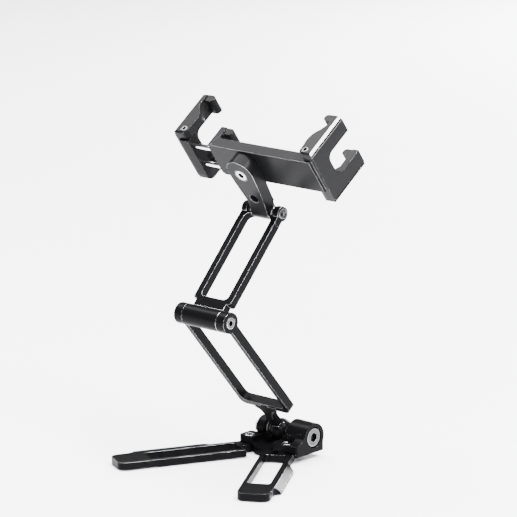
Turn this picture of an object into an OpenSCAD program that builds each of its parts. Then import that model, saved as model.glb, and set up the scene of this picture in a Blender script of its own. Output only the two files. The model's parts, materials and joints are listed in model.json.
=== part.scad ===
// Folding aluminium phone stand: two swinging legs, a ball hub, two nested frame arms,
// a swivelling holder with a spring-loaded jaw and two folding claws.
// Millimetres. X runs along the hinge pins, -Y is the back, where the legs point, and +Z is up.
// The origin is on the desk, straight below the hub pin.

/* [Base] */
// Height of the hub pin above the desk
hub_z = 11; // [10.6:0.1:13]
// Thickness of the rubber pad under the base
pad_t = 0.8; // [0.6:0.1:1]
// Height of the top of the base plate
plate_top = 8.5; // [8.2:0.1:8.8]
// Half width of the base floor between the leg roots
floor_half = 8; // [7:0.1:8]
// Outer end of the long right ear
right_ear_x = 21.6; // [20.5:0.1:24]

/* [Legs] */
// Distance of each leg pivot from the middle
leg_pivot_x = 12.2; // [12.2:0.1:12.6]
// Length of a leg from its pivot to its tip
leg_len = 72.3; // [66:0.1:90]
// Spread of the left leg from straight back, degrees
left_spread = 26.7; // [0:0.1:36]
// Spread of the right leg from straight back, degrees
right_spread = 31.7; // [0:0.1:36]
// Height of the top of the legs
leg_top = 4.2; // [4:0.1:4.3]

/* [Arms] */
// Outer width of the lower arm and of the elbow
lower_w = 32.4; // [32:0.1:34]
// Distance along the lower arm from the hub pin to the elbow pin
lower_len = 86.8; // [84:0.1:110]
// Lean of the lower arm above the desk, degrees
lower_lean = 49.2; // [10:0.1:85]
// Outer width of the upper arm
upper_w = 24; // [23:0.1:25]
// Distance from the elbow pin to the fork pin
upper_len = 62.2; // [56:0.1:63]
// Lean of the upper arm above the desk, degrees
upper_lean = 47.3; // [10:0.1:85]

/* [Holder] */
// Lean of the phone above the desk, degrees
phone_lean = 54; // [20:1:80]
// Distance from the fork pin to the swivel bolt
swivel_v = 26.1; // [25:0.1:30]
// Gap between the left end of the bar and the sliding jaw
jaw_gap = 12.8; // [0.3:0.1:35]
// Height of the bar across its long side
bar_h = 19.8; // [19:0.1:21]
// Height of each claw
claw_h = 32.6; // [31:0.1:36]
// How far the middle of the claws and of the jaw sits below the swivel bolt
claw_drop = 1.5; // [0:0.1:1.8]
// Depth from the fork pin to the tips of the claws
claw_tip = 32.8; // [30:0.1:40]

/* [Hidden] */

$fn = 64;
eps = 0.01;
black = [0.07, 0.07, 0.08];
rubber = [0.03, 0.03, 0.03];
silver = [0.8, 0.8, 0.8];
gap = 0.06; // radial running clearance of every pin
side_gap = 0.05; // end clearance of every turning joint

// base
plate_under = 4.6;
floor_top = 4.3;
base_front = -13.4;
floor_front = -14.2;
base_rear = 6.6;
left_ear_x = -11.6;
ear_inner = 7;
right_ear_r = 7.2;
left_ear_r = 5.7;
ball_r = 5.8;
ball_half = 5; // half length of the ball between its two flats
hub_pin_r = 2;
hub_head_r = 4.8;
hub_head_t = 1.8;
hub_seat_r = 5.3;
hub_seat_t = 2.1;

// legs, in a frame with +x to the outer side and +y from the pivot to the tip
leg_pivot_y = -9.8;
leg_under = 0.5;
leg_in = -11.9;
leg_out = 4;
leg_root = 6;
tip_r = 4;
slot_in = -9.7;
slot_out = 1.5;
slot_root = 7.3;
slot_tip = leg_len - 17;
flange_out = 7.5;
narrow_flange_out = 6;
flange_root = 20;
flange_tip = leg_len - 9.5;
leg_pin_r = 1.5;
leg_nut_r = 3;
leg_nut_t = 1.4;

// arms
frame_lift = 2.5; // height of the lower frame's middle above the hub pin, across the arm
lower_t = 4.6;
lower_rail = 2.5;
elbow_r = 5.2;
elbow_pin_r = 1.75;
knuckle_in = 11.4; // inner face of the lower arm's elbow knuckles
upper_t = 4.3;
upper_rail = 3.4;
fork_r = 3.7;
fork_pin_r = 1.5;
prong_out = 11.8;
link_half = 5.2; // half width of the link's knuckle

// holder, in a frame with +y up the phone and +z towards it
link_back = -2;
link_front = 4.6;
link_r = 7.8;
tool_hole_v = 10.2;
tool_hole_r = 2.5;
bar_back = 5;
bar_front = 10.6;
bar_left = -21.8;
swivel_pin_r = 1.5;
swivel_nut_r = 2.5;
swivel_head_r = 3.3;
hinge_z = 8.95; // depth of the claw hinges
hinge_r = 2.9;
right_hinge_x = 40.7;
hinge_nose = 1.65; // radius of the rounded end that a claw turns around
hinge_block = 3.4; // reach of the block behind that end, under the claw's root
plate_in = 1.75; // inner face of a claw plate, outside its hinge
plate_out = 5.3; // outer face of a claw plate, outside its hinge
claw_edge = 1; // chamfer along a claw's outer edges
claw_rib = 6.7; // height of the curved rib inside each arm
liner_t = 0.8;
claw_pin_r = 0.9;
claw_head_r = 1.9;
u_half = 6.7; // half width of the claw's cut-out
u_root = 15;
jaw_right = bar_left - jaw_gap;
left_hinge_x = jaw_right - 2.9;
jaw_h = 22.9;
rod_r = 1.3;
rod_z = 7.8;
rod_v = 6;
rod_len = 54;
chamber_r = 1.95;
chamber_wall = 2;
chamber_end = 36;
stop_t = 2.5;
spring_r = 1.62;
spring_wire = 0.2;
spring_turns = 9;
spring_steps = 10;
spring_sides = 5;

// ---------- places ----------

module at_hub() { translate([0, 0, hub_z]) children(); }

// x across, y along the lower arm, z out of its upper side
module at_lower_arm() {
    at_hub() rotate([180 - lower_lean, 0, 0]) mirror([0, 0, 1]) children();
}

elbow = [
    0,
    -lower_len * cos(lower_lean) + frame_lift * sin(lower_lean),
    hub_z + lower_len * sin(lower_lean) + frame_lift * cos(lower_lean)
];

// x across, y along the upper arm, z out of its upper side
module at_upper_arm() { translate(elbow) rotate([upper_lean, 0, 0]) children(); }

fork = elbow + upper_len * [0, cos(upper_lean), sin(upper_lean)];

// x across, y up the phone, z towards it
module at_holder() {
    translate(fork) rotate([180 - phone_lean, 0, 0]) mirror([0, 0, 1]) children();
}

// x to the leg's outer side, y from its pivot to its tip
module at_leg(side) {
    mirror([side < 0 ? 1 : 0, 0, 0]) translate([leg_pivot_x, leg_pivot_y, 0])
        rotate([0, 0, side < 0 ? left_spread : right_spread]) mirror([0, 1, 0]) children();
}

// the claw hinges: x away from the middle of the holder, y up the hinge, z to the claw tips
module at_claw(side) {
    at_holder() translate([side < 0 ? left_hinge_x : right_hinge_x, swivel_v - claw_drop, hinge_z])
        mirror([side < 0 ? 1 : 0, 0, 0]) children();
}

// ---------- shared shapes ----------

// a rectangle with round corners, as plain squares and circles
module round_rect(x0, x1, y0, y1, r) {
    translate([x0 + r, y0]) square([x1 - x0 - 2 * r, y1 - y0]);
    translate([x0, y0 + r]) square([x1 - x0, y1 - y0 - 2 * r]);
    for (x = [x0 + r, x1 - r], y = [y0 + r, y1 - r]) translate([x, y]) circle(r);
}

// a cylinder along X between two stations
module rod_x(r, x0, x1) { translate([x0, 0, 0]) rotate([0, 90, 0]) cylinder(r = r, h = x1 - x0); }

// a cylinder along Y between two stations
module rod_y(r, y0, y1) { translate([0, y0, 0]) rotate([-90, 0, 0]) cylinder(r = r, h = y1 - y0); }

// a hexagon of a given width across its flats
module hexagon(across) { circle(r = across / sqrt(3), $fn = 6); }

// a screw along +Z: a chamfered head from 0 up to head_t with a hex socket, and a shank below
module socket_screw(head_r, head_t, socket, shank_r, shank_len) {
    rim = min(0.35, head_t / 3);
    difference() {
        union() {
            cylinder(r = head_r, h = head_t - rim);
            translate([0, 0, head_t - rim]) cylinder(r1 = head_r, r2 = head_r - rim, h = rim);
        }
        translate([0, 0, head_t * 0.15]) linear_extrude(head_t) hexagon(socket);
    }
    translate([0, 0, -shank_len]) cylinder(r = shank_r, h = shank_len + eps);
}

// a hexagon nut along +Z
module hex_nut(across, t, bore_r) {
    linear_extrude(t) difference() {
        hexagon(across);
        circle(bore_r);
    }
}

module washer(out_r, in_r, t) {
    difference() {
        cylinder(r = out_r, h = t);
        translate([0, 0, -1]) cylinder(r = in_r, h = t + 2);
    }
}

// ---------- base ----------

module right_ear_profile() {
    circle(right_ear_r);
    translate([-right_ear_r, -hub_z + plate_under]) square([right_ear_r + base_rear, hub_z - plate_under]);
}

// takes a corner off the front of the floor, leaving a round one
module floor_corner_cut() {
    difference() {
        translate([-floor_half - 1, floor_front - 1]) square([4.2 + 1, 4.2 + 1]);
        translate([-floor_half + 4.2, floor_front + 4.2]) circle(4.2);
    }
}

// rounds the inner foot of the left tab into the floor
module tab_fillet() {
    r = 3.8;
    translate([0, -4.6, 0]) rotate([90, 0, 0]) linear_extrude(9) difference() {
        translate([-8, floor_top - eps]) square([r + 0.2, r]);
        translate([r - 7.8, floor_top + r]) circle(r);
    }
}

module base_block() {
    shoulder = [[base_front + 0.4, plate_top - 0.2], [-8, hub_z + 0.2], [-6.8, hub_z + 2.4],
                [0, hub_z + 2], [0, plate_top - 0.5]];
    color(black) difference() {
        union() {
            // floor between the leg roots
            translate([0, 0, pad_t]) linear_extrude(floor_top - pad_t)
                difference() {
                    translate([-floor_half, floor_front]) square([2 * floor_half, base_rear - floor_front]);
                    floor_corner_cut();
                    mirror([1, 0]) floor_corner_cut();
                }
            // web under both ears
            translate([left_ear_x, -5.2, pad_t]) cube([-left_ear_x, base_rear + 5.2, floor_top - pad_t]);
            translate([0, -5.2, 3.3]) cube([right_ear_x, base_rear + 5.2, plate_under - 3.3 + eps]);
            // left tab and left ear
            translate([0, 0, plate_under]) linear_extrude(plate_top - plate_under)
                round_rect(-16.2, -7.4, base_front, -4.4, 1.2);
            translate([left_ear_x, -5.2, floor_top - eps])
                cube([-ear_inner - left_ear_x, base_rear + 4.2, plate_top - floor_top]);
            at_hub() rod_x(left_ear_r, left_ear_x, -ear_inner);
            tab_fillet();
            // right tab, right ear and its shoulder
            translate([0, 0, plate_under]) linear_extrude(plate_top - plate_under)
                round_rect(5.6, right_ear_x, base_front, -4.4, 1.2);
            difference() {
                at_hub() rotate([90, 0, 90]) translate([0, 0, ear_inner])
                    linear_extrude(right_ear_x - ear_inner) right_ear_profile();
                at_hub() translate([ear_inner - eps, 0, 0]) rotate([0, 90, 0]) difference() {
                    translate([0, 0, -1]) cylinder(r = right_ear_r + 3, h = 3.2);
                    cylinder(r1 = right_ear_r - 2.2, r2 = right_ear_r, h = 2.2 + eps);
                    translate([0, -20, -2]) cube([40, 40, 10]);
                }
            }
            rotate([90, 0, 90]) translate([0, 0, 16.5]) linear_extrude(right_ear_x - 16.5) polygon(shoulder);
            // inner strip that joins the left tab and ear to the floor
            translate([left_ear_x, -5.2, floor_top - 1]) cube([4.6, 8, 3]);
            translate([ear_inner, -5.2, floor_top - 1]) cube([4.6, 11, 3]);
            // skirt outside the right leg, which stops its swing
            translate([right_ear_x - 1.7, base_front + 0.1, 3.2]) cube([1.7, 8.4, plate_under - 3.2 + eps]);
        }
        // hub pin and the recess of its head
        at_hub() rod_x(hub_pin_r, left_ear_x - 1, right_ear_x + 1);
        at_hub() rod_x(hub_seat_r, right_ear_x - hub_seat_t, right_ear_x + 1);
        // leg screws: hole, and a recess for each head
        for (s = [-1, 1]) translate([s * leg_pivot_x, leg_pivot_y, 0]) {
            cylinder(r = leg_pin_r, h = 20);
            translate([0, 0, plate_top - 1.5]) cylinder(r = 3.1, h = 5);
        }
    }
}

module base_pad() {
    color(rubber) linear_extrude(pad_t)
        round_rect(-floor_half + 0.6, floor_half - 0.6, floor_front + 1.6, base_rear - 0.6, 1.5);
}

module hub_bolt() {
    color(silver) at_hub() translate([right_ear_x - hub_seat_t, 0, 0]) rotate([0, 90, 0])
        socket_screw(hub_head_r, hub_head_t, 4.3, hub_pin_r, right_ear_x - hub_seat_t - left_ear_x + 2.8);
}

module hub_nut() {
    color(silver) at_hub() translate([left_ear_x - 2.6, 0, 0]) rotate([0, 90, 0]) hex_nut(7, 2.6, hub_pin_r);
}

module hub_washers() {
    t = ear_inner - ball_half - side_gap;
    color(silver) at_hub() for (s = [-1, 1]) mirror([s < 0 ? 1 : 0, 0, 0])
        translate([ball_half + side_gap, 0, 0]) rotate([0, 90, 0]) {
            washer(2.9, hub_pin_r, t);
            translate([0, 0, t / 2]) washer(4, hub_pin_r, t / 2);
        }
}

// ---------- legs ----------

module leg_plan() {
    difference() {
        union() {
            round_rect(leg_in, leg_out, leg_root, leg_len, tip_r);
            round_rect(leg_in, leg_out, leg_root, leg_len - 2 * tip_r, 1.2);
            translate([-4, 0]) square([8, leg_root + 4]);
            circle(4);
        }
        round_rect(slot_in, slot_out, slot_root, slot_tip, 1.6);
    }
}

// the stiffening flange along the outer edge: wide with a sloped top on the right leg,
// and narrow with a level top on the left one
module leg_flange(side) {
    out = side < 0 ? narrow_flange_out : flange_out;
    wide = [[leg_out - 1, leg_under], [out, leg_under], [out, leg_under + 1.1],
            [leg_out + 0.6, leg_top], [leg_out - 1, leg_top]];
    narrow = [[leg_out - 1, leg_under], [leg_out + 0.4, leg_under], [out, leg_under + 1.4],
              [out, leg_top], [leg_out - 1, leg_top]];
    intersection() {
        translate([0, flange_tip, 0]) rotate([90, 0, 0]) linear_extrude(flange_tip - flange_root)
            polygon(side < 0 ? narrow : wide);
        linear_extrude(leg_top) difference() {
            polygon([[leg_out - 1, flange_root], [leg_out, flange_root], [out, flange_root + out - leg_out],
                [out, flange_tip], [leg_out - 1, flange_tip]]);
            translate([flange_out + 0.6, flange_tip]) circle(4);
        }
    }
}

module leg(side) {
    color(black) at_leg(side) difference() {
        union() {
            translate([0, 0, leg_under]) linear_extrude(leg_top - leg_under) leg_plan();
            leg_flange(side);
        }
        translate([0, 0, -1]) cylinder(r = leg_pin_r + gap, h = 10);
        translate([0, 0, -1]) cylinder(r = leg_nut_r + 0.4, h = 1 + leg_under + leg_nut_t + 0.1);
        // shallow seats that hold the foot pads
        translate([0, 0, leg_under - 1]) linear_extrude(1.3) foot_pad_plan();
    }
}
module leg_left() { leg(-1); }
module leg_right() { leg(1); }

module foot_pad_plan() {
    round_rect(slot_in, slot_out, slot_tip + 3, leg_len - 3, 2);
    round_rect(leg_in + 0.4, slot_in - 0.3, slot_root + 4, slot_tip - 3, 0.7);
}

module foot_pads(side) { color(rubber) at_leg(side) linear_extrude(leg_under + 0.3) foot_pad_plan(); }
module foot_pads_left() { foot_pads(-1); }
module foot_pads_right() { foot_pads(1); }

module leg_pivot_screw(side) {
    color(silver) translate([side * leg_pivot_x, leg_pivot_y, plate_top - 1.5])
        socket_screw(3, 1.5, 3.2, leg_pin_r, plate_top - 1.5 - leg_under - 0.2);
}
module leg_pivot_screw_left() { leg_pivot_screw(-1); }
module leg_pivot_screw_right() { leg_pivot_screw(1); }

module leg_nut(side) {
    color(silver) translate([side * leg_pivot_x, leg_pivot_y, leg_under + 0.1])
        washer(leg_nut_r, leg_pin_r, leg_nut_t);
}
module leg_nut_left() { leg_nut(-1); }
module leg_nut_right() { leg_nut(1); }

module leg_washer(side) {
    color(rubber) translate([side * leg_pivot_x, leg_pivot_y, leg_top + side_gap])
        washer(3.6, leg_pin_r, plate_under - leg_top - side_gap);
}
module leg_washer_left() { leg_washer(-1); }
module leg_washer_right() { leg_washer(1); }

// ---------- lower arm ----------

module lower_frame_plan() {
    half = lower_w / 2;
    difference() {
        round_rect(-half, half, 17.2, lower_len + 20, 3.4);
        round_rect(-half + lower_rail, half - lower_rail, 20.6, lower_len + 40, 2.6);
        translate([-half - 1, lower_len]) square([lower_w + 2, 60]);
    }
}

// stem from the ball, flaring into the cross-bar
module stem_plan() {
    flare = 4.5;
    stem = 2.3;
    translate([-stem, 0]) square([2 * stem, 20]);
    difference() {
        translate([-stem - flare, 17.2 - flare]) square([2 * (stem + flare), flare + 2]);
        for (s = [-1, 1]) translate([s * (stem + flare), 17.2 - flare]) circle(flare);
    }
}

module lower_arm() {
    low = frame_lift - lower_t / 2;
    high = frame_lift + lower_t / 2;
    color(black) at_lower_arm() difference() {
        union() {
            translate([0, 0, low]) linear_extrude(lower_t) lower_frame_plan();
            intersection() {
                translate([0, 0, -3]) linear_extrude(10) stem_plan();
                rotate([90, 0, 90]) translate([0, 0, -10]) linear_extrude(20)
                    polygon([[0, -2], [11, -2], [20.5, low], [20.5, high], [16.5, high], [11, 2], [0, 2]]);
            }
            intersection() {
                sphere(ball_r);
                rod_x(ball_r + 1, -ball_half, ball_half);
            }
            translate([0, lower_len, frame_lift]) for (s = [-1, 1]) mirror([s < 0 ? 1 : 0, 0, 0])
                rod_x(elbow_r, knuckle_in + side_gap, lower_w / 2);
        }
        rod_x(hub_pin_r + gap, -20, 20);
        translate([0, lower_len, frame_lift]) {
            rod_x(elbow_pin_r, -30, 30);
            rod_x(3.05, lower_w / 2 - 1.6, 30);
            rod_x(3.05, -30, -lower_w / 2 + 1.8);
        }
    }
}

module at_elbow() { at_lower_arm() translate([0, lower_len, frame_lift]) children(); }

module elbow_bolt() {
    color(silver) at_elbow() translate([lower_w / 2 - 1.6, 0, 0]) rotate([0, 90, 0])
        socket_screw(2.95, 1.8, 2.5, elbow_pin_r, lower_w - 2.2);
}

module elbow_nut() {
    color(silver) at_elbow() translate([-lower_w / 2 + 0.2, 0, 0]) rotate([0, 90, 0])
        washer(2.95, elbow_pin_r, 1.6);
}

module elbow_washers() {
    color(rubber) at_elbow() for (s = [-1, 1]) mirror([s < 0 ? 1 : 0, 0, 0])
        translate([knuckle_in - 0.4, 0, 0]) rotate([0, 90, 0]) washer(4.9, elbow_pin_r, 0.4 + side_gap);
}

// ---------- upper arm ----------

module upper_frame_plan() {
    half = upper_w / 2;
    difference() {
        union() {
            round_rect(-half, half, 8.4, upper_len + 20, 1.2);
            translate([-9.6, 3]) square([19.2, 7]);
        }
        round_rect(-half + upper_rail, half - upper_rail, 10.3, upper_len + 40, 2.6);
        translate([-half - 1, upper_len]) square([upper_w + 2, 60]);
    }
}

// fills the window's corner under each prong, up to the link
module fork_fillet() {
    inner = link_half + 0.2;
    foot = upper_len - 6.6;
    difference() {
        translate([inner, foot]) square([upper_w / 2 - upper_rail - inner + 0.5, 4.2]);
        translate([inner, foot]) circle(upper_w / 2 - upper_rail - inner);
    }
}

module upper_arm() {
    half = upper_w / 2;
    color(black) at_upper_arm() difference() {
        union() {
            translate([0, 0, -upper_t / 2]) linear_extrude(upper_t) upper_frame_plan();
            rod_x(elbow_r, -knuckle_in + 0.45, knuckle_in - 0.45);
            translate([0, upper_len, 0]) for (s = [-1, 1]) mirror([s < 0 ? 1 : 0, 0, 0])
                rod_x(fork_r, half - upper_rail, prong_out);
            translate([0, 0, -upper_t / 2]) linear_extrude(upper_t)
                for (s = [0, 1]) mirror([s, 0]) fork_fillet();
        }
        translate([0, upper_len, 0]) rod_x(3.25, -half + upper_rail, half - upper_rail);
        rod_x(elbow_pin_r + gap, -30, 30);
        translate([0, upper_len, 0]) {
            rod_x(fork_pin_r, -30, 30);
            rod_x(2.5, prong_out - 1.4, 30);
            rod_x(2.5, -30, -prong_out + 1.4);
            // trims the square rail ends back to the round bosses
            for (s = [-1, 1]) mirror([s < 0 ? 1 : 0, 0, 0]) rod_x(fork_r + 3, prong_out, 20);
        }
    }
}

module at_fork() { at_upper_arm() translate([0, upper_len, 0]) children(); }

module fork_bolt() {
    color([0.2, 0.2, 0.22]) at_fork() translate([prong_out - 1.4, 0, 0]) rotate([0, 90, 0])
        socket_screw(2.4, 1.2, 2, fork_pin_r, 2 * prong_out - 2);
}

module fork_nut() {
    color([0.2, 0.2, 0.22]) at_fork() translate([-prong_out + 0.2, 0, 0]) rotate([0, 90, 0])
        washer(2.4, fork_pin_r, 1.2);
}

module fork_spacers() {
    inner = link_half + side_gap;
    color(black) at_fork() for (s = [-1, 1]) mirror([s < 0 ? 1 : 0, 0, 0]) translate([inner, 0, 0])
        rotate([0, 90, 0]) {
            washer(2.7, fork_pin_r, upper_w / 2 - upper_rail - inner);
            translate([0, 0, 1.1]) washer(3.2, fork_pin_r, 0.7);
        }
}

// ---------- head link ----------

module link_plan() {
    translate([0, swivel_v + 1]) circle(link_r);
    polygon([[-link_r, swivel_v + 1], [-7, 19], [-link_half, 7], [-link_half, 0],
             [link_half, 0], [link_half, 7], [7, 19], [link_r, swivel_v + 1]]);
}

module head_link() {
    color(black) at_holder() difference() {
        union() {
            rotate([90, 0, 90]) translate([0, 0, -link_half]) linear_extrude(2 * link_half) {
                circle(fork_r);
                polygon([[0, -fork_r], [5, link_back - 0.6], [8, link_back], [8, link_front], [1.6, 3.3],
                    [0, fork_r]]);
            }
            intersection() {
                translate([0, 0, link_back]) linear_extrude(link_front - link_back) link_plan();
                translate([-10, 4, -5]) cube([20, 60, 20]);
            }
        }
        rod_x(fork_pin_r + gap, -10, 10);
        translate([0, swivel_v, -10]) cylinder(r = swivel_pin_r + gap, h = 30);
        translate([0, swivel_v, -10]) cylinder(r = swivel_head_r + 0.15, h = 10 + link_back + 1.3);
        translate([0, tool_hole_v, -10]) cylinder(r = tool_hole_r, h = 30);
        // keeps the fork spacers clear
        for (s = [-1, 1]) mirror([s < 0 ? 1 : 0, 0, 0]) rod_x(4.2, link_half, 12);
    }
}

module swivel_bolt() {
    color(silver) at_holder() translate([0, swivel_v, link_back + 1.3]) rotate([180, 0, 0])
        socket_screw(swivel_head_r, 1.35, 3, swivel_pin_r, bar_front - 0.4 - link_back - 1.3);
}

module swivel_nut() {
    color(silver) at_holder() translate([0, swivel_v, bar_front - 2.2])
        washer(swivel_nut_r, swivel_pin_r, 1.9);
}

module swivel_washer() {
    color(rubber) at_holder() translate([0, swivel_v, link_front + side_gap])
        washer(6, swivel_pin_r, bar_back - link_front - side_gap);
}

// ---------- holder bar ----------

// cross-section of a bar or jaw end that a claw turns around: x away from the middle, y is depth
module hinge_end_plan(reach) {
    back = bar_back - hinge_z;
    translate([-reach, back]) square([reach, hinge_nose - back]);
    polygon([[-1, back], [hinge_block - 1, back], [hinge_block, back + 1], [hinge_block, 0], [-1, 0]]);
    circle(hinge_nose);
}

module holder_bar() {
    reach = right_hinge_x - bar_left;
    color(black) difference() {
        at_claw(1) translate([0, claw_drop + bar_h / 2, 0]) rotate([90, 0, 0]) linear_extrude(bar_h)
            hinge_end_plan(reach);
        at_holder() translate([0, swivel_v, 0]) {
            cylinder(r = swivel_pin_r, h = 30);
            translate([0, 0, bar_front - 2.2]) cylinder(r = swivel_nut_r + 0.08, h = 5);
            for (s = [-1, 1]) translate([0, s * rod_v - claw_drop, rod_z]) {
                rod_x(rod_r + gap, bar_left - 1, 0);
                rod_x(chamber_r, bar_left + chamber_wall, chamber_end);
            }
            // small chamfers at the bar's left corners
            for (s = [-1, 1]) translate([bar_left, s * bar_h / 2, 0]) rotate([0, 0, 45])
                cube([2, 2, 60], center = true);
        }
        at_claw(1) rod_y(claw_pin_r, -bar_h, bar_h);
    }
}

// ---------- claws ----------

// side view of the claw plate: y is depth from the hinge, x runs up the hinge
module claw_plate_plan() {
    tip = claw_tip - hinge_z;
    difference() {
        round_rect(-claw_h / 2, claw_h / 2, -hinge_r - 5, tip, 1.5);
        translate([-claw_h, -hinge_r - 10]) square([2 * claw_h, 10]);
        translate([0, u_root - hinge_z + u_half * 0.55]) round_rect(-u_half, u_half, -u_half * 0.55, 40, 3.6);
    }
}

// rounds one corner of a claw's side view, across all its width
module claw_corner_cut() {
    r = 1.3;
    translate([-10, 0, 0]) rotate([90, 0, 90]) linear_extrude(20) difference() {
        translate([claw_h / 2 - r, -hinge_r - 1]) square([r + 1, r + 1]);
        translate([claw_h / 2 - r, r - hinge_r]) circle(r);
    }
}

// plan view of a claw's inside, which swells inwards and runs out into the plate
// (inset moves the face outwards)
module claw_curve_plan(inset) {
    translate([inset, 0]) {
        intersection() {
            translate([7.05, 6]) circle(10.3);
            translate([-4, 2]) square([5 + plate_in, 13.5]);
        }
        translate([-hinge_r, 0]) square([hinge_r + plate_in + 1, 5]);
        polygon([[-0.1, 13.4], [plate_in, 17], [plate_in + 1, 17], [plate_in + 1, 12], [2, 12]]);
    }
    translate([plate_in + inset, 0]) square([plate_out - plate_in - inset - 0.5, 20.5]);
}

// the part of that plan which clears the bar when the claw is folded in
module rib_plan(inset) {
    intersection() {
        claw_curve_plan(inset);
        polygon([[1.9 + inset, 0], [-4.6 + inset, 20], [10, 30], [10, 0]]);
    }
}

// plan view of the lug: a round eye at the hinge, the root of the plate and the curve
module lug_plan() {
    circle(hinge_r);
    translate([0, -hinge_r]) square([plate_out - claw_edge - 0.2, hinge_r + 1]);
    claw_curve_plan(0);
}

// plan view of the rubber liner's seat in the curve, open on the inner side
liner_root = 11.7;
liner_end = 19.5;
module liner_seat_plan() {
    difference() {
        translate([-6, liner_root]) square([6 + plate_in + liner_t + 0.3, liner_end - liner_root]);
        claw_curve_plan(liner_t);
    }
}

module liner_plan() {
    intersection() {
        liner_seat_plan();
        claw_curve_plan(0);
    }
}

// the hook at a claw's tip, seen along the hinge
module hook_plan() {
    tip = claw_tip - hinge_z;
    translate([-3, tip - 4]) {
        translate([1.5, 0]) square([5, 4]);
        translate([1.5, 2]) circle(2);
    }
}

// gives every child at the top of the claw, and again mirrored at its foot
module both_ends() { for (m = [0, 1]) mirror([0, m, 0]) children(); }

// places a plan of the liner in both arms, a little inside the claw's ends
module in_both_arms() {
    both_ends() translate([0, claw_h / 2 - 0.9, 0]) rotate([90, 0, 0]) linear_extrude(claw_rib - 1.5)
        children();
}

// top_lug and low_lug are the heights of the two eyes
module claw(side, top_lug, low_lug) {
    half = claw_h / 2;
    between = claw_h - top_lug - low_lug;
    color(black) at_claw(side) difference() {
        union() {
            translate([plate_in, 0, 0]) rotate([90, 0, 90]) linear_extrude(plate_out - plate_in)
                claw_plate_plan();
            translate([0, half, 0]) rotate([90, 0, 0]) linear_extrude(top_lug) lug_plan();
            translate([0, low_lug - half, 0]) rotate([90, 0, 0]) linear_extrude(low_lug) lug_plan();
            both_ends() {
                translate([0, half, 0]) rotate([90, 0, 0]) linear_extrude(claw_rib) rib_plan(0);
                translate([0, half - 0.5, 0]) rotate([90, 0, 0]) linear_extrude(half - u_half - 1)
                    hook_plan();
            }
        }
        rod_y(claw_pin_r + gap, -40, 40);
        in_both_arms() liner_seat_plan();
        // room for the block that the claw turns around
        translate([-4, low_lug - half, -10]) cube([4 + hinge_block + 0.1, between, 10.1]);
        both_ends() {
            rod_y(claw_head_r + 0.08, half - 1.2, 40);
            // long chamfer on the outer edge, with a groove beside it
            translate([plate_out, half, 12]) rotate([0, 0, 45])
                cube([claw_edge * sqrt(2), claw_edge * sqrt(2), 60], center = true);
            translate([plate_out - 0.5, half - claw_edge - 1, -10]) cube([2, 1.05, 60]);
            claw_corner_cut();
        }
    }
}

// the eyes fill the height outside the bar, and outside the jaw
bar_top_lug = claw_h / 2 - bar_h / 2 - claw_drop - side_gap;
bar_low_lug = claw_h / 2 - bar_h / 2 + claw_drop - side_gap;
jaw_lug = (claw_h - jaw_h) / 2 - side_gap;

module right_claw() { claw(1, bar_top_lug, bar_low_lug); }
module left_claw() { claw(-1, jaw_lug, jaw_lug); }

module right_claw_pads() { color(rubber) at_claw(1) in_both_arms() liner_plan(); }
module left_claw_pads() { color(rubber) at_claw(-1) in_both_arms() liner_plan(); }

module claw_screw(lug_h) {
    translate([0, claw_h / 2 - 1.2, 0]) rotate([-90, 0, 0])
        socket_screw(claw_head_r, 1.3, 1.8, claw_pin_r, lug_h + 1.4);
}

module claw_screws(side, top_lug, low_lug) {
    color(silver) at_claw(side) {
        claw_screw(top_lug);
        mirror([0, 1, 0]) claw_screw(low_lug);
    }
}
module right_claw_screws() { claw_screws(1, bar_top_lug, bar_low_lug); }
module left_claw_screws() { claw_screws(-1, jaw_lug, jaw_lug); }

// ---------- sliding jaw ----------

module slide_jaw() {
    color(black) difference() {
        at_claw(-1) rotate([90, 0, 0]) translate([0, 0, -jaw_h / 2]) linear_extrude(jaw_h)
            hinge_end_plan(2.9);
        at_claw(-1) rod_y(claw_pin_r, -jaw_h, jaw_h);
        at_holder() translate([0, swivel_v - claw_drop, rod_z]) for (s = [-1, 1]) translate([0, s * rod_v, 0])
            rod_x(rod_r, jaw_right - 3.6, 0);
    }
}

module guide_rod(s) {
    color(silver) at_holder() translate([0, swivel_v - claw_drop + s * rod_v, rod_z])
        rod_x(rod_r, jaw_right - 3.6, jaw_right - 3.6 + rod_len);
}
module guide_rod_upper() { guide_rod(1); }
module guide_rod_lower() { guide_rod(-1); }

rod_end = jaw_right - 3.6 + rod_len;

module rod_end_stops() {
    color(silver) at_holder() for (s = [-1, 1])
        translate([rod_end - stop_t, swivel_v - claw_drop + s * rod_v, rod_z]) rotate([0, 90, 0])
            washer(chamber_r - 0.1, rod_r, stop_t);
}

// rings of the coil: a wire circle carried along a helix about X
spring_len = rod_end - stop_t - (bar_left + chamber_wall) - 2 * spring_wire - 0.1;
spring_rings = spring_turns * spring_steps;
function coil_point(i, j) = let (turn = 360 * i / spring_steps, side = 360 * j / spring_sides,
    r = spring_r + spring_wire * cos(side))
    [spring_len * i / spring_rings + spring_wire * sin(side), r * cos(turn), r * sin(turn)];

module coil() {
    n = spring_sides;
    points = [for (i = [0 : spring_rings], j = [0 : n - 1]) coil_point(i, j)];
    sides = [for (i = [0 : spring_rings - 1], j = [0 : n - 1])
        [i * n + j, i * n + (j + 1) % n, (i + 1) * n + (j + 1) % n, (i + 1) * n + j]];
    start = [for (j = [0 : n - 1]) n - 1 - j];
    end = [for (j = [0 : n - 1]) spring_rings * n + j];
    polyhedron(points, concat(sides, [start, end]));
}

module jaw_springs() {
    color(silver) at_holder() for (s = [-1, 1])
        translate([bar_left + chamber_wall + spring_wire + 0.05, swivel_v - claw_drop + s * rod_v, rod_z])
            coil();
}

// ---------- pieces ----------

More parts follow.
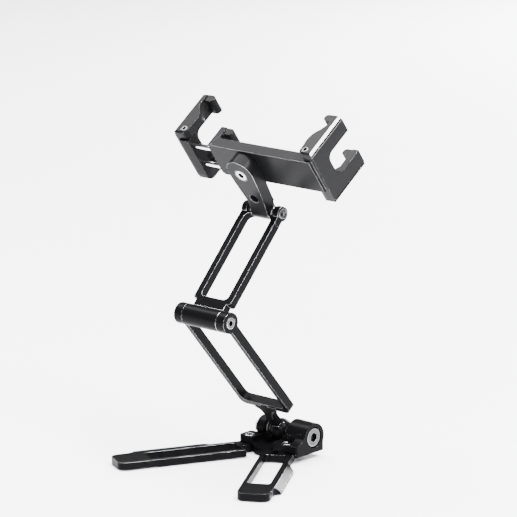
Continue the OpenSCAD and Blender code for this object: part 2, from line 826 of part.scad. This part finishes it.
base_block();
base_pad();
hub_bolt();
hub_nut();
hub_washers();
leg_left();
leg_right();
leg_pivot_screw_left();
leg_pivot_screw_right();
leg_nut_left();
leg_nut_right();
leg_washer_left();
leg_washer_right();
foot_pads_left();
foot_pads_right();
lower_arm();
elbow_bolt();
elbow_nut();
elbow_washers();
upper_arm();
fork_bolt();
fork_nut();
fork_spacers();
head_link();
swivel_bolt();
swivel_nut();
swivel_washer();
holder_bar();
right_claw();
right_claw_pads();
right_claw_screws();
slide_jaw();
guide_rod_upper();
guide_rod_lower();
rod_end_stops();
jaw_springs();
left_claw();
left_claw_pads();
left_claw_screws();
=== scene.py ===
"""Folding phone stand: black satin aluminium, nickel screws and rubber pads, on a pale floor."""

import json
import math

import bpy
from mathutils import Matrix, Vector

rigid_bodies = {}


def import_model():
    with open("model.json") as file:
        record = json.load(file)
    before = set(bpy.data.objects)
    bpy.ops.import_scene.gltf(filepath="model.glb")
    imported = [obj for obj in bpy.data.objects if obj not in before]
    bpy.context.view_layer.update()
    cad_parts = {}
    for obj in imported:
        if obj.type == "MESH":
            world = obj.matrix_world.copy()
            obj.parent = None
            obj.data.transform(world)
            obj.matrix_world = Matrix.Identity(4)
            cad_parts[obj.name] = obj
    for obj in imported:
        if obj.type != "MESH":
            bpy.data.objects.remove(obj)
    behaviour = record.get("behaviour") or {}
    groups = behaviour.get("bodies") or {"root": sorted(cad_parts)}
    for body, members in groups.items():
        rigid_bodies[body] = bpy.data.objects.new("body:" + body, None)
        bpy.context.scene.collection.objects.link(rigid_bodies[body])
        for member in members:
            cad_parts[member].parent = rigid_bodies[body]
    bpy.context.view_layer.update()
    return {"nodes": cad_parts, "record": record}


bpy.ops.object.select_all(action="SELECT")
bpy.ops.object.delete()

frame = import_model()
nodes = frame["nodes"]
scene = bpy.context.scene

MM = 0.001  # metres


# ---------- building blocks for materials ----------

def shader(m):
    return m.node_tree.nodes["Principled BSDF"]


def material(name, color, metallic, roughness, specular=0.5):
    m = bpy.data.materials.new(name)
    m.use_nodes = True
    bsdf = shader(m)
    bsdf.inputs["Base Color"].default_value = (*color, 1)
    bsdf.inputs["Metallic"].default_value = metallic
    bsdf.inputs["Roughness"].default_value = roughness
    bsdf.inputs["Specular IOR Level"].default_value = specular
    return m


def noise(m, scale, detail):
    """Noise over the object's own metres, so it stays with the piece as it moves."""
    tree = m.node_tree
    where = tree.nodes.new("ShaderNodeTexCoord")
    tex = tree.nodes.new("ShaderNodeTexNoise")
    tex.inputs["Scale"].default_value = scale
    tex.inputs["Detail"].default_value = detail
    tree.links.new(where.outputs["Object"], tex.inputs["Vector"])
    return tex.outputs["Fac"]


def map_range(m, value, from_min, from_max, to_min, to_max):
    tree = m.node_tree
    span = tree.nodes.new("ShaderNodeMapRange")
    span.inputs["From Min"].default_value = from_min
    span.inputs["From Max"].default_value = from_max
    span.inputs["To Min"].default_value = to_min
    span.inputs["To Max"].default_value = to_max
    tree.links.new(value, span.inputs["Value"])
    return span.outputs["Result"]


def blend_input(m, name, factor, other):
    """Lets a factor from 0 to 1 take a shader input from its set value to another one."""
    tree = m.node_tree
    target = shader(m).inputs[name]
    mix = tree.nodes.new("ShaderNodeMix")
    if target.type == "RGBA":
        mix.data_type = "RGBA"
    mix.inputs["A"].default_value = target.default_value
    mix.inputs["B"].default_value = other
    tree.links.new(factor, mix.inputs["Factor"])
    tree.links.new(mix.outputs["Result"], target)


def vary_roughness(m, scale, low, high):
    """Faint patches of duller and glossier surface."""
    rough = map_range(m, noise(m, scale, 3.0), 0.3, 0.7, low, high)
    m.node_tree.links.new(rough, shader(m).inputs["Roughness"])


def grain(m, scale, strength, distance):
    """Fine bumps, such as bead blasting or a mould leaves."""
    tree = m.node_tree
    bump = tree.nodes.new("ShaderNodeBump")
    bump.inputs["Strength"].default_value = strength
    bump.inputs["Distance"].default_value = distance
    tree.links.new(noise(m, scale, 2.0), bump.inputs["Height"])
    tree.links.new(bump.outputs["Normal"], shader(m).inputs["Normal"])


def paint_recess_shade(m, distance, low):
    """Painted shade: deep pockets, such as hex sockets, lose their colour, metal and gloss down to a low
    share, the more enclosed they are.
    """
    tree = m.node_tree
    shade = tree.nodes.new("ShaderNodeAmbientOcclusion")
    shade.inputs["Distance"].default_value = distance
    unshaded_share = map_range(m, shade.outputs["AO"], 0.68, 0.90, low, 1.0)
    color = tuple(shader(m).inputs["Base Color"].default_value)
    shader(m).inputs["Base Color"].default_value = (0, 0, 0, 1)
    blend_input(m, "Base Color", unshaded_share, color)
    tree.links.new(unshaded_share, shader(m).inputs["Metallic"])
    tree.links.new(unshaded_share, shader(m).inputs["Specular IOR Level"])


def beyond(m, direction, edge):
    """1 where a point of the object lies beyond edge (metres) along a direction, 0 before it."""
    tree = m.node_tree
    where = tree.nodes.new("ShaderNodeTexCoord")
    dot = tree.nodes.new("ShaderNodeVectorMath")
    dot.operation = "DOT_PRODUCT"
    dot.inputs[1].default_value = direction
    tree.links.new(where.outputs["Object"], dot.inputs[0])
    step = tree.nodes.new("ShaderNodeMath")
    step.operation = "GREATER_THAN"
    step.inputs[1].default_value = edge
    tree.links.new(dot.outputs["Value"], step.inputs[0])
    return step.outputs["Value"]


def combine(m, operation, first, second):
    """Joins two masks and keeps the result between 0 and 1."""
    tree = m.node_tree
    math_node = tree.nodes.new("ShaderNodeMath")
    math_node.operation = operation
    math_node.use_clamp = True
    tree.links.new(first, math_node.inputs[0])
    tree.links.new(second, math_node.inputs[1])
    return math_node.outputs["Value"]


# ---------- black anodised aluminium ----------

BLACK = (0.0042, 0.0042, 0.0047)
SHADED_BLACK = (0.0022, 0.0022, 0.0025)  # a darker copy of the anodised black, which paints shade on the arms, legs, base and jaw
PATCHES = 60  # noise scale, per metre
BLASTING = 4200  # noise scale, per metre
BLASTING_DEPTH = 0.04 * MM

# up along the claws, which lean back with the holder, and the marks on their outer plates
CLAW_UP = Vector((0, -0.5878, 0.8090))
CLAW_CHAMFER = 1.0 * MM
GROOVE_WIDTH = 1.02 * MM  # up to and with the groove's lower wall
GROOVE_DEPTH = 0.6 * MM  # a little more than the real depth
RIM_HIGHLIGHT_WIDTH = 0.35 * MM  # painted highlight: a bright line under the groove
SKIN = 0.06 * MM  # how close to the chamfer's plane counts as on it


def anodised(name, color, roughness, specular):
    m = material(name, color, 0.0, roughness, specular)
    grain(m, BLASTING, 0.10, BLASTING_DEPTH)
    return m


def claw_finish(obj, out, gloss):
    """Anodised, with polished chamfers at both ends of the outer plate, painted shade in a groove by the
    upper one, and a painted highlight line under that groove.
    """
    m = anodised("anodised " + obj.name, BLACK, 0.34, gloss)
    side = Vector((out, 0, 0))
    plate = max(v.co.dot(side) for v in obj.data.vertices)
    top = max(v.co.dot(CLAW_UP) for v in obj.data.vertices)
    bottom = max(-v.co.dot(CLAW_UP) for v in obj.data.vertices)
    groove_end = top - CLAW_CHAMFER - GROOVE_WIDTH

    on_plate = beyond(m, side, plate - GROOVE_DEPTH)
    upper = beyond(m, side + CLAW_UP, plate + top - CLAW_CHAMFER - SKIN)
    lower = beyond(m, side - CLAW_UP, plate + bottom - CLAW_CHAMFER - SKIN)
    groove = combine(m, "MULTIPLY", on_plate, beyond(m, CLAW_UP, groove_end))
    # painted highlight: a polished line just under the groove
    rim_highlight = combine(m, "MULTIPLY", on_plate, beyond(m, CLAW_UP, groove_end - RIM_HIGHLIGHT_WIDTH))
    rim_highlight = combine(m, "SUBTRACT", rim_highlight, groove)
    # the polished chamfers, together with the painted highlight line
    polished = combine(m, "ADD", combine(m, "ADD", upper, lower), rim_highlight)
    # painted shade: the groove loses its gloss
    groove_shade = combine(m, "SUBTRACT", groove, upper)

    blend_input(m, "Base Color", polished, (0.12, 0.12, 0.12, 1))
    blend_input(m, "Roughness", polished, 0.25)
    blend_input(m, "Specular IOR Level", groove_shade, 0.0)
    m.node_tree.links.new(polished, shader(m).inputs["Metallic"])
    return m


black = anodised("anodised", BLACK, 0.31, 0.038)
vary_roughness(black, PATCHES, 0.29, 0.34)

# Painted shade: the same anodised finish, made darker for the arms, legs, base and jaw.
shaded_black = anodised("anodised deep", SHADED_BLACK, 0.30, 0.024)
vary_roughness(shaded_black, PATCHES, 0.28, 0.33)

chamfer = material("polished chamfer", (0.40, 0.40, 0.41), 1.0, 0.2)


# ---------- screws, rods, springs and rubber ----------

TOOL_MARKS = 900  # noise scale, per metre
RUBBER_GRAIN = 2600  # noise scale, per metre

# Silver, steel, screw steel and black oxide steel get painted shade in their sockets and other recesses.
silver = material("nickel", (0.50, 0.50, 0.51), 1.0, 0.30)
vary_roughness(silver, TOOL_MARKS, 0.24, 0.38)
paint_recess_shade(silver, 6 * MM, 0.01)

steel = material("steel", (0.065, 0.065, 0.067), 1.0, 0.32)
vary_roughness(steel, TOOL_MARKS, 0.26, 0.40)
paint_recess_shade(steel, 8 * MM, 0.01)

screw_steel = material("screw steel", (0.035, 0.035, 0.036), 1.0, 0.32)
paint_recess_shade(screw_steel, 6 * MM, 0.01)
bright_edge = material("screw edge", (0.7, 0.7, 0.71), 1.0, 0.18)

dark_steel = material("black oxide steel", (0.02, 0.02, 0.021), 0.8, 0.30)
paint_recess_shade(dark_steel, 4 * MM, 0.05)
dark_edge = material("black oxide edge", (0.2, 0.2, 0.21), 1.0, 0.22)

chrome = material("chrome", (0.80, 0.80, 0.81), 1.0, 0.08)
wire = material("spring wire", (0.5, 0.5, 0.5), 1.0, 0.25)

rubber = material("rubber", (0.006, 0.006, 0.006), 0.0, 0.7, specular=0.08)
grain(rubber, RUBBER_GRAIN, 0.35, 0.06 * MM)
washer = material("washer", (0.008, 0.008, 0.0085), 0.0, 0.5, specular=0.1)


# ---------- which piece wears what ----------

# by the record's slot: face, edge, and the bevel that catches light along edges, in mm
LOOKS = {
    "black": (black, chamfer, 0.2),
    "silver": (silver, silver, 0.1),
    "dark_steel": (dark_steel, dark_edge, 0.12),
    "rod": (chrome, chrome, 0.0),
    "spring": (wire, wire, 0.0),
    "rubber": (rubber, rubber, 0.1),
    "washer": (washer, washer, 0.0),
}

# by node, where it differs from its slot
FACES = {
    # These pieces wear the darker copy of the anodised black, which paints shade on them.
    "base_block": shaded_black,
    "leg_left": shaded_black,
    "leg_right": shaded_black,
    "lower_arm": shaded_black,
    "upper_arm": shaded_black,
    "slide_jaw": shaded_black,
    # The left claw gets less gloss than the right, a darker copy of the same finish that paints shade on it.
    "right_claw": claw_finish(nodes["right_claw"], 1, 0.070),
    "left_claw": claw_finish(nodes["left_claw"], -1, 0.040),
    "hub_bolt": steel,
    "elbow_bolt": steel,
    "left_claw_screws": steel,
    "right_claw_screws": steel,
    "leg_pivot_screw_left": screw_steel,
    "leg_pivot_screw_right": screw_steel,
}
EDGES = {"leg_pivot_screw_left": bright_edge, "leg_pivot_screw_right": bright_edge}
BEVEL_WIDTHS = {"fork_spacers": 0.12, "right_claw": 0.1, "left_claw": 0.1}
BEVEL_SEGMENTS = {"right_claw": 1, "left_claw": 1}


def bevel_edges(obj, width, segments):
    """Joins the mesh's triangles into flat faces and puts a narrow bevel on the sharp edges."""
    weld = obj.modifiers.new("weld", "WELD")
    weld.merge_threshold = 0.002 * MM
    flat = obj.modifiers.new("flat", "DECIMATE")
    flat.decimate_type = "DISSOLVE"
    flat.angle_limit = math.radians(0.4)
    bevel = obj.modifiers.new("bevel", "BEVEL")
    bevel.width = width * MM
    bevel.segments = segments
    bevel.limit_method = "ANGLE"
    bevel.angle_limit = math.radians(28)
    bevel.material = 1
    weigh = obj.modifiers.new("weighted normals", "WEIGHTED_NORMAL")
    weigh.mode = "FACE_AREA"
    weigh.weight = 60


for sub in frame["record"]["subparts"]:
    name = sub["node"]
    obj = nodes[name]
    face, edge, width = LOOKS[sub["material_slot"]]
    obj.data.materials.clear()
    obj.data.materials.append(FACES.get(name, face))
    obj.data.materials.append(EDGES.get(name, edge))
    width = BEVEL_WIDTHS.get(name, width)
    if width:
        bevel_edges(obj, width, BEVEL_SEGMENTS.get(name, 2))


# ---------- floor, light and camera ----------

FLOOR_SIZE = 12  # metres

floor_stuff = material("floor", (0.9, 0.9, 0.92), 0.0, 0.6, specular=0.2)
bpy.ops.mesh.primitive_plane_add(size=FLOOR_SIZE, location=(0, 0, 0))
floor = bpy.context.object
floor.name = "floor"
floor.data.materials.append(floor_stuff)

world = scene.world or bpy.data.worlds.new("world")
scene.world = world
world.use_nodes = True
background = world.node_tree.nodes["Background"]
background.inputs["Color"].default_value = (1, 1, 1, 1)
background.inputs["Strength"].default_value = 0.35

MIDDLE = Vector((0, -0.02, 0.1))  # of the stand, where the lights point


def softbox(name, toward, distance, size, radiance):
    """A square area light that shows this radiance, in a direction seen from the stand."""
    data = bpy.data.lights.new(name, "AREA")
    data.size = size
    data.energy = radiance * math.pi * size * size
    obj = bpy.data.objects.new(name, data)
    obj.location = MIDDLE + Vector(toward).normalized() * distance
    obj.rotation_euler = (MIDDLE - obj.location).to_track_quat("-Z", "Y").to_euler()
    scene.collection.objects.link(obj)


softbox("overhead", (0, 0, 1), 2.2, 2.2, 22)
softbox("right key", (0.61, -0.02, 0.79), 1.3, 0.4, 80)
softbox("left key", (-0.65, 0.0, 0.76), 1.4, 0.5, 18)
softbox("front low", (-0.33, 0.92, 0.2), 1.6, 0.5, 60)
softbox("ball glint", (0.52, -0.70, 0.49), 1.3, 0.25, 120)

# a long lens, 42 degrees to the right of the back and 13 degrees above the desk
CAMERA_AT = Vector((1.0601, -1.1957, 0.4728))
CAMERA_AIM = Vector((0, -0.017, 0.101))

camera = bpy.data.objects.new("camera", bpy.data.cameras.new("camera"))
scene.collection.objects.link(camera)
scene.camera = camera
camera.location = CAMERA_AT
camera.rotation_euler = (CAMERA_AIM - CAMERA_AT).to_track_quat("-Z", "Y").to_euler()
camera.data.lens = 233.3
camera.data.sensor_width = 36
camera.data.clip_start = 0.05
camera.data.clip_end = 50
